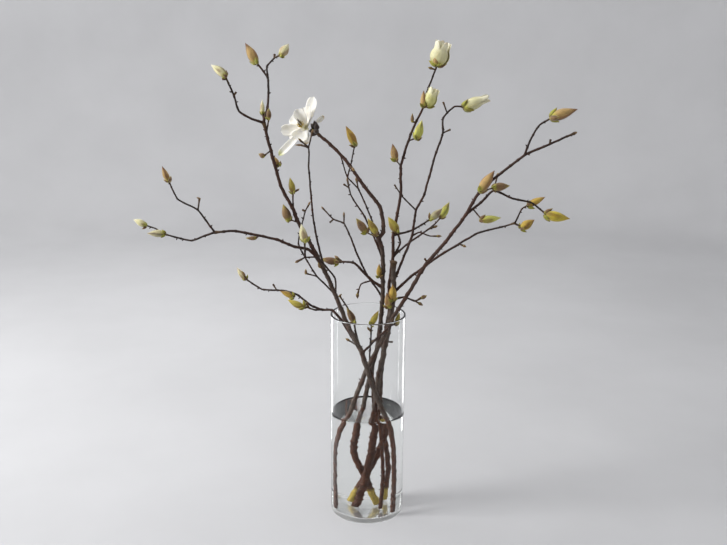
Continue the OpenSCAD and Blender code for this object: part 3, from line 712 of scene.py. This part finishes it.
def opening_bud(shape, at, direction, length, width, look, seed):
    """A half-open bud: tepals wrapped round an axis, the inner ones a little taller."""
    rnd = random.Random(seed)
    d = Vector(direction).normalized()
    s, t = axes_for(d)
    foot, side_c, tip_c = look
    shut = 0.62 if width > 0.55 * length else 0.68
    for i in range(9):
        inner = i >= 5
        turn = i * TAU / (4 if inner else 5) + 0.7 * inner + rnd.uniform(-0.2, 0.2)
        span = rnd.uniform(0.85, 1.1)
        size = width / 2 * (0.84 if inner else 1.0) * rnd.uniform(0.95, 1.0)
        tall = length * (0.96 if inner else rnd.uniform(0.90, 1.0))
        shade = rnd.uniform(0.92, 1.06)

        def place(u, v):
            h = tall * v * (1 - 0.2 * abs(u) ** 2.5 * ramp(v, 0, 0.5))
            f = h / length
            r = size * max(0.14, swell(min(f, shut))) * (1 + 0.4 * max(0, f - shut))
            r *= 1 - 0.05 * (1 + u)
            r += 0.25 * noise.noise(Vector((u * 2, v * 3, seed + i)))
            a = turn + span * u * (1 - 0.35 * v * v) * (0.75 + 0.25 * math.sin(math.pi * v))
            return Vector(at) + d * h + r * around(a, s, t)

        def paint_at(u, v):
            c = mix(foot, side_c, ramp(v, 0.0, 0.30))
            c = mix(c, tip_c, ramp(v, 0.45, 0.9))
            c = mix(c, (0.42, 0.24, 0.14), 0.8 * ramp(v, 0.90, 1.0) * (1 - abs(u)) * (i % 3 == 0))
            c = mix(c, (0.40, 0.33, 0.10), 0.6 * abs(u) ** 5)
            return tuple(x * shade * (1 - 0.12 * u * u) for x in c)

        shell(shape, place, paint_at, 0.6, seed + i, rows=18, cols=12)


# ---------------------------------------------------------------- materials

def material(name, **sockets):
    """A Principled material, its node tree and its shader; the sockets are uniform values."""
    m = bpy.data.materials.new(name)
    m.use_nodes = True
    tree = m.node_tree
    shader = next(n for n in tree.nodes if n.type == "BSDF_PRINCIPLED")
    for key, value in sockets.items():
        shader.inputs[key.replace("_", " ")].default_value = value
    return m, tree, shader


def node(tree, kind, inputs=(), **settings):
    """A new node, with its settings, and its inputs set to values or linked from other nodes."""
    n = tree.nodes.new(kind)
    for key, value in settings.items():
        setattr(n, key, value)
    for key, value in dict(inputs).items():
        if isinstance(value, bpy.types.NodeSocket):
            tree.links.new(value, n.inputs[key])
        else:
            n.inputs[key].default_value = value
    return n


def noise_at(tree, vector, scale, detail, rough=0.55):
    """Noise at a point, from 0 to 1."""
    return node(tree, "ShaderNodeTexNoise", {
        "Vector": vector, "Scale": scale, "Detail": detail, "Roughness": rough}).outputs["Fac"]


def spread(tree, value, low, high, start=0.35, end=0.65):
    """Stretches a value between start and end to low and high."""
    return node(tree, "ShaderNodeMapRange", {
        "Value": value, "From Min": start, "From Max": end, "To Min": low, "To Max": high,
    }).outputs["Result"]


def times(tree, a, b, operation="MULTIPLY"):
    """The product of two values, or what another operation makes of them."""
    return node(tree, "ShaderNodeMath", {0: a, 1: b}, operation=operation).outputs[0]


def shaded(tree, colour, factor):
    """The colour made darker or lighter by a factor."""
    return node(tree, "ShaderNodeVectorMath", {0: colour, 3: factor}, operation="SCALE").outputs[0]


def painted(name, streak, fine, light, dark, bump_mm, rough_low, rough_high, **sockets):
    """A surface that takes its colour from the mesh, broken up by streaks and fine grain."""
    m, tree, shader = material(name, **sockets)
    paint = node(tree, "ShaderNodeAttribute", attribute_name="paint").outputs["Color"]
    grain = node(tree, "ShaderNodeAttribute", attribute_name="grain").outputs["Vector"]
    streaks = noise_at(tree, grain, streak, 5)
    grains = noise_at(tree, grain, fine, 3, 0.7)
    share = 0.65
    both = times(tree, times(tree, streaks, share), times(tree, grains, 1 - share), "ADD")
    colour = shaded(tree, paint, spread(tree, both, dark, light))
    tree.links.new(colour, shader.inputs["Base Color"])
    tree.links.new(spread(tree, both, rough_low, rough_high), shader.inputs["Roughness"])
    bump = node(tree, "ShaderNodeBump", {"Height": both, "Strength": 0.6, "Distance": bump_mm * MM})
    tree.links.new(bump.outputs["Normal"], shader.inputs["Normal"])
    return m


def clear_material(name, colour, ior, tint, spots, rough, waves, detail, bump, **sockets):
    """A clear material with faint waves; its tint dims what it reflects."""
    m, tree, shader = material(name, Base_Color=colour, IOR=ior, Specular_Tint=tint, **sockets)
    place = node(tree, "ShaderNodeTexCoord").outputs["Object"]
    haze = spread(tree, noise_at(tree, place, spots, 3), 0.0, rough)
    tree.links.new(haze, shader.inputs["Roughness"])
    wave = node(tree, "ShaderNodeBump", {
        "Height": noise_at(tree, place, waves, detail), "Strength": bump, "Distance": bump * MM})
    tree.links.new(wave.outputs["Normal"], shader.inputs["Normal"])
    return m, tree, shader, place


def glass_material():
    """Clear glass, its underside a little ground, most on the ring that it stands on."""
    m, tree, shader, place = clear_material(
        "clear_glass", (0.985, 0.992, 0.988, 1), 1.5, (0.1, 0.1, 0.1, 1),
        spots=28, rough=0.004, waves=9, detail=1, bump=0.1)
    inside_ring, on_ring, ring_from, ring_to = 0.14, 0.3, 44 * MM, 48 * MM
    height = node(tree, "ShaderNodeSeparateXYZ", {"Vector": place}).outputs["Z"]
    flat = node(tree, "ShaderNodeVectorMath", {0: place, 1: (1, 1, 0)}, operation="MULTIPLY")
    out = node(tree, "ShaderNodeVectorMath", {0: flat.outputs[0]}, operation="LENGTH")
    ground = spread(tree, out.outputs["Value"], inside_ring, on_ring, ring_from, ring_to)
    low = spread(tree, height, 1, 0, 1.2 * MM, 2.4 * MM)
    clear = times(tree, 1, times(tree, ground, low), "SUBTRACT")
    tree.links.new(clear, shader.inputs["Transmission Weight"])
    return m


def water_material():
    """Still, clear water."""
    return clear_material(
        "still_water", (0.99, 0.995, 0.992, 1), 1.333, (0.5, 0.5, 0.5, 1),
        spots=40, rough=0.003, waves=22, detail=2, bump=0.15, Transmission_Weight=1.0)[0]


# Scales of the streaks and the grain, lightest, darkest, bump in mm, least and most roughness
BARK = painted("bark", 1.5, 7, 1.55, 0.45, 0.6, 0.5, 0.8, Specular_IOR_Level=0.35)
BUD_SILK = painted("bud_silk", 1.1, 6, 1.22, 0.78, 0.35, 0.55, 0.8,
                   Sheen_Weight=0.35, Sheen_Roughness=0.4)
LEAF_BUD = painted("leaf_bud_scale", 1.6, 8, 1.25, 0.7, 0.3, 0.45, 0.7)
TEPAL = painted("tepal", 0.9, 5, 1.05, 0.93, 0.18, 0.42, 0.6,
                Subsurface_Weight=0.25, Subsurface_Scale=0.004, Subsurface_Radius=(1.0, 0.9, 0.6))
SCALES = painted("dark_bud_scale", 1.3, 8, 1.4, 0.6, 0.5, 0.6, 0.9, Sheen_Weight=0.3)
HEART = painted("flower_heart", 1.2, 6, 1.2, 0.8, 0.3, 0.45, 0.7)


# ---------------------------------------------------------------- glass and water

CLEAR = (1, 1, 1)
ORIGIN = (0, 0, 0)


def arc(cx, cz, r, a, b, steps=10):
    """Points on an arc about (cx, cz) from angle a to b, in degrees."""
    turns = [math.radians(a + (b - a) * i / steps) for i in range(steps + 1)]
    return [(cx + r * math.cos(t), cz + r * math.sin(t)) for t in turns]


def circle(r, z, sides):
    """Points at height z evenly round the z axis."""
    return [(r * math.cos(TAU * k / sides), r * math.sin(TAU * k / sides), z) for k in range(sides)]


def lathe(name, profile, mat, slot, node_name, sides=192):
    """Turns a profile that starts and ends on the axis, [radius, height] in mm."""
    shape = Shape()
    rings = [[shape.add(p, CLEAR, ORIGIN) for p in circle(r, z, sides)]
             for r, z in profile[1:-1]]
    shape.rings(rings)
    shape.fan(rings[0], shape.add((0, 0, profile[0][1]), CLEAR, ORIGIN), flip=True)
    shape.fan(rings[-1], shape.add((0, 0, profile[-1][1]), CLEAR, ORIGIN))
    obj = shape.piece(name, mat, "vase", slot, node_name)
    obj.visible_shadow = obj.visible_diffuse = False
    return obj


def glass_vase():
    """The vase: a slightly hollow underside, a round foot, a round lip and a thick floor."""
    inner, lip = INNER_R, WALL / 2
    profile = [(0, 0.9), (20, 0.8), (38, 0.45), (46, 0.1), (VASE_R - FOOT_ROUND - 1.5, 0)]
    profile += arc(VASE_R - FOOT_ROUND, FOOT_ROUND, FOOT_ROUND, -90, 0, 12)
    profile += [(VASE_R, z) for z in (4, 60, 150, 240, VASE_H - lip - 1)]
    profile += arc(VASE_R - lip, VASE_H - lip, lip, 0, 180, 16)
    profile += [(inner, z) for z in (VASE_H - lip - 1, 240, 150, 60, FLOOR_H + INNER_ROUND + 1)]
    profile += arc(inner - INNER_ROUND, FLOOR_H + INNER_ROUND, INNER_ROUND, 0, -90, 10)
    profile += [(inner - INNER_ROUND - 1, FLOOR_H), (24, FLOOR_H + 0.2), (0, FLOOR_H + 0.3)]
    return lathe("glass_cylinder", profile, glass_material(), "vase_glass", "vase")


def still_water():
    """The water: it reaches a little into the glass, and its surface climbs the wall."""
    into_glass, rise, fade = 0.15, 1.5, 0.9
    inner = INNER_R + into_glass
    low = FLOOR_H - into_glass
    profile = [(0, low + 0.3), (24, low + 0.2), (inner - INNER_ROUND - 1, low)]
    profile += arc(inner - INNER_ROUND, low + INNER_ROUND, INNER_ROUND, -90, 0, 10)
    profile += [(inner, z) for z in (FLOOR_H + INNER_ROUND + 1, 60, 110, WATER_LEVEL - 4)]
    profile += [(inner, WATER_LEVEL + rise)]
    profile += [(inner - into_glass - x, WATER_LEVEL + rise * math.exp(-x / fade))
                for x in (0.1, 0.4, 0.8, 1.3, 1.9, 2.7, 3.6, 5)]
    profile += [(30, WATER_LEVEL), (0, WATER_LEVEL)]
    return lathe("vase_water", profile, water_material(), "water", "water")


# ---------------------------------------------------------------- branches

THICK_R = 1.9          # a limb that starts thicker than this has more sides
HAIRS_PER_MM2 = 1.6    # on a bud's length times its width


def side_twigs(limb):
    """The short twigs of a limb: [foot, tip, bud]."""
    route, spurs = limb[3:]
    return [(along(route, place), along(route, place) + Vector(offset), b)
            for place, offset, b in spurs]


def branch_buds(branch):
    """Every bud of a branch: [base, direction, bud]."""
    ends = []
    for limb in branch:
        route = limb[3]
        ends.append((Vector(route[-2]), Vector(route[-1]), limb[2]))
        ends += side_twigs(limb)
    return [(tip, Vector(b[3] if len(b) > 3 else tip - foot).normalized(), b)
            for foot, tip, b in ends if b]


def build_branch(name, branch, number):
    """The bark, buds and tepals of one branch; its number seeds what is random in it."""
    body = name + "_branch"
    bark, flowers, leaves, opening = Shape(), Shape(), Shape(), Shape()
    for i, limb in enumerate(branch):
        seed = number * 40 + i
        first = i == 0
        line = stem(bark, limb[3], route_radii(limb), seed, sides=16 if limb[0] > THICK_R else 12,
                    step=1.5, sawn=first, yellow=YELLOW_FEET.get(name, 0) if first else 0)
        nodes_on(bark, line, seed)
        for j, (foot, tip, b) in enumerate(side_twigs(limb)):
            stem(bark, [foot, tip], [SPUR_R, SPUR_R], seed + 0.01 * (j + 1), sides=10, step=1.2)
    for i, (at, way, b) in enumerate(branch_buds(branch)):
        seed = number * 100 + i
        base = at - BUD_SEAT * way
        kind, length, width = b[:3]
        if kind == LEAF:
            bud(leaves, base, way, length, width, LOOKS["brown"], seed, sides=14, rows=10)
        elif kind == FLOWER:
            hairs = int(length * width * HAIRS_PER_MM2)
            bud(flowers, base, way, length, width, LOOKS[b[4]], seed, hairs)
            bracts(flowers, base, way, length, width, seed)
        else:
            opening_bud(opening, base, way, length, width, LOOKS[b[4]], seed)
            bracts(flowers, base, way, length, width, seed, 4)
    bark.piece(name + "_bark", BARK, body, "bark", name + "_wood")
    flowers.piece(name + "_flower_buds", BUD_SILK, body, "flower_bud", name + "_buds")
    leaves.piece(name + "_leaf_bud_scales", LEAF_BUD, body, "leaf_bud", name + "_leaf_buds")
    if opening.points:
        opening.piece(name + "_opening_buds", TEPAL, body, "tepal", name + "_tepals")


def open_blossom():
    """The open blossom: tepals, the cup of dark scales behind them, and the heart."""
    white, greenish, tan = (0.95, 0.93, 0.86), (0.50, 0.52, 0.14), (0.56, 0.38, 0.16)
    petals, cup, heart = Shape(), Shape(), Shape()
    toward = Vector((-0.2, -1, 0.3))
    # [offset of the tip, way it faces, width, cup, curl, colour of the tip]
    for i, (reach, facing, width, hollow, curl, tip_c) in enumerate([
            ((11, 2, 41), (-0.6, -1, 0), 17, 0.20, 0.05, white),
            ((5, -5, 29), (-0.9, -0.7, 0), 15, 0.30, 0.08, white),
            ((-14, -3, 24), (0.5, -1, -0.3), 16, 0.45, -0.16, white),
            ((-34, -4, -5), toward, 17, 0.14, 0.08, white),
            ((-12, -15, -15), toward, 24, 0.16, 0.14, white),
            ((-38, 0, -39), toward, 11, 0.25, 0.05, greenish),
            ((-22, 16, 12), toward, 17, 0.25, 0.08, white),
            ((-24, 12, -16), toward, 15, 0.25, 0.08, white),
            ((2, -9, -22), toward, 9, 0.30, 0.08, tan),
            ((-3, 10, 26), toward, 15, 0.25, 0.06, white)]):
        tepal(petals, BLOOM_AT, reach, facing, width, hollow, curl, 700 + i, tip_c, 0.45)
    tepal(petals, BLOOM_CUP + Vector((0, 0, 7)), (15, -2, 11), toward, 7, 0.3, 0.2, 711, tan, 0.35)
    petals.piece("open_blossom_tepals", TEPAL, "blossom_branch", "tepal", "blossom_tepals")
    dark = ((0.026, 0.015, 0.010), (0.036, 0.020, 0.013), (0.060, 0.034, 0.018))
    s, t = axes_for(BLOOM_AXIS)
    scales = 6
    for i in range(scales):
        out = around(TAU * i / scales, s, t)
        foot = BLOOM_CUP - 5 * BLOOM_AXIS + 2.5 * out
        way = 0.7 * BLOOM_AXIS + out + Vector((0, 0, 0.3))
        bud(cup, foot, way, 11, 8, dark, 720 + i, hairs=90)
    cup.piece("open_blossom_scales", SCALES, "blossom_branch", "bud_scale", "blossom_scales")
    s, t = axes_for(HEART_AXIS)
    core_look = ((0.62, 0.50, 0.05), (0.20, 0.15, 0.05), (0.06, 0.03, 0.02))
    bud(heart, HEART_AT, HEART_AXIS, 16, 4.5, core_look, 740, sides=20, rows=20)
    rnd = random.Random(741)
    parts, stamens, golden_angle = 46, 24, 2.4
    for i in range(parts):
        out = around(i * golden_angle, s, t)
        stamen = i < stamens
        paint = ((0.75, 0.55, 0.05),) * 3 if stamen else LOOKS["olive"]
        foot = HEART_AT + HEART_AXIS * (1.0 + 8.5 * i / parts) + 1.6 * out
        way = out + HEART_AXIS * rnd.uniform(0.7, 1.4)
        long = rnd.uniform(4.5, 6.5) if stamen else 2.6
        bud(heart, foot, way, long, 0.9, paint, 750 + i, sides=6, rows=5)
    heart.piece("open_blossom_heart", HEART, "blossom_branch", "flower_heart", "blossom_heart")


# ---------------------------------------------------------------- stage

def look_at(obj, target):
    """Turns a lamp to its target."""
    obj.rotation_euler = (Vector(target) - obj.location).to_track_quat("-Z", "Y").to_euler()


def softbox(name, place, target, width, height, power, only=None):
    """A rectangular light, on everything or only on the pieces in a collection."""
    data = bpy.data.lights.new(name, "AREA")
    data.shape, data.size, data.size_y = "RECTANGLE", width, height
    data.energy = power
    lamp = bpy.data.objects.new(name, data)
    lamp.location = place
    lamp.visible_camera = False
    if only:
        lamp.light_linking.receiver_collection = only
    look_at(lamp, target)
    bpy.context.scene.collection.objects.link(lamp)


def edge_lights(glass):
    """Two narrow upright lights that draw the bright lines along the sides of the glass."""
    only = bpy.data.collections.new("edge_lit")
    for obj in glass:
        only.objects.link(obj)
    softbox("edge_left", (-0.16, 0.19, 0.13), (0, 0, 0.13), 0.010, 0.25, 0.07, only)
    softbox("edge_right", (0.17, 0.17, 0.16), (0, 0, 0.16), 0.007, 0.16, 0.035, only)


def pale_floor():
    """A pale round floor that curves up into a plain backdrop all round."""
    sides, floor_z, floor_r, bend, top = 96, -0.0003, 2.0, 0.7, 2.2
    rows = [(floor_r * k / 4, floor_z) for k in range(1, 5)]
    turns = [math.radians(a) for a in range(6, 91, 6)]
    rows += [(floor_r + bend * math.sin(a), floor_z + bend - bend * math.cos(a)) for a in turns]
    rows += [(floor_r + bend, top)]
    points = [p for r, z in rows for p in circle(r, z, sides)] + [(0, 0, floor_z)]
    faces = [((i + 1) * sides + k, (i + 1) * sides + (k + 1) % sides, i * sides + (k + 1) % sides,
              i * sides + k) for i in range(len(rows) - 1) for k in range(sides)]
    faces += [(len(points) - 1, k, (k + 1) % sides) for k in range(sides)]
    mesh = bpy.data.meshes.new("pale_floor")
    mesh.from_pydata(points, [], faces)
    mesh.polygons.foreach_set("use_smooth", [True] * len(faces))
    floor = bpy.data.objects.new("pale_floor", mesh)
    bpy.context.scene.collection.objects.link(floor)
    m, tree, shader = material("pale_floor", Roughness=0.85, Specular_IOR_Level=0.1)
    place = node(tree, "ShaderNodeTexCoord").outputs["Object"]
    tone = spread(tree, noise_at(tree, place, 3, 5), 0.97, 1.03)
    base = node(tree, "ShaderNodeRGB")
    base.outputs[0].default_value = (0.54, 0.54, 0.55, 1)
    tree.links.new(shaded(tree, base.outputs[0], tone), shader.inputs["Base Color"])
    floor.data.materials.append(m)


def studio_lights():
    """Soft light from the left and above, a little from the right, and a pale room."""
    # name, place, target, width, height and power
    softbox("key_left", (-1.75, -0.35, 1.2), (0, 0, 0.35), 0.7, 1.3, 38)
    softbox("fill_right", (1.7, -0.9, 1.0), (0, 0, 0.3), 0.9, 1.4, 3)
    softbox("top", (-0.5, 0.3, 2.1), (0, 0.2, 0.2), 1.4, 1.4, 13)
    softbox("wash", (-0.9, 0.6, 1.9), (-0.6, 2.6, 0.9), 1.0, 0.5, 16)
    world = bpy.data.worlds.new("soft_room")
    world.use_nodes = True
    world.node_tree.nodes["Background"].inputs["Color"].default_value = (0.97, 0.98, 1, 1)
    world.node_tree.nodes["Background"].inputs["Strength"].default_value = 0.5
    bpy.context.scene.world = world


def front_camera():
    """The camera, in front of the vase and looking a little down on it."""
    data = bpy.data.cameras.new("camera")
    data.sensor_width, data.lens = 36, 45.7
    camera = bpy.data.objects.new("camera", data)
    camera.location = (-0.0068, -1.241, 0.683)
    pitch, roll = 0.2554, 0.0058
    turn = Matrix.Rotation(math.pi / 2 - pitch, 4, "X") @ Matrix.Rotation(roll, 4, "Z")
    camera.rotation_euler = turn.to_euler()
    bpy.context.scene.collection.objects.link(camera)
    bpy.context.scene.camera = camera
    bpy.context.scene.view_settings.view_transform = "Standard"


pale_floor()
studio_lights()
front_camera()
edge_lights([glass_vase(), still_water()])
for number, (name, branch) in enumerate(BRANCHES.items(), 1):
    build_branch(name, branch, number)
open_blossom()

bpy.context.view_layer.update()
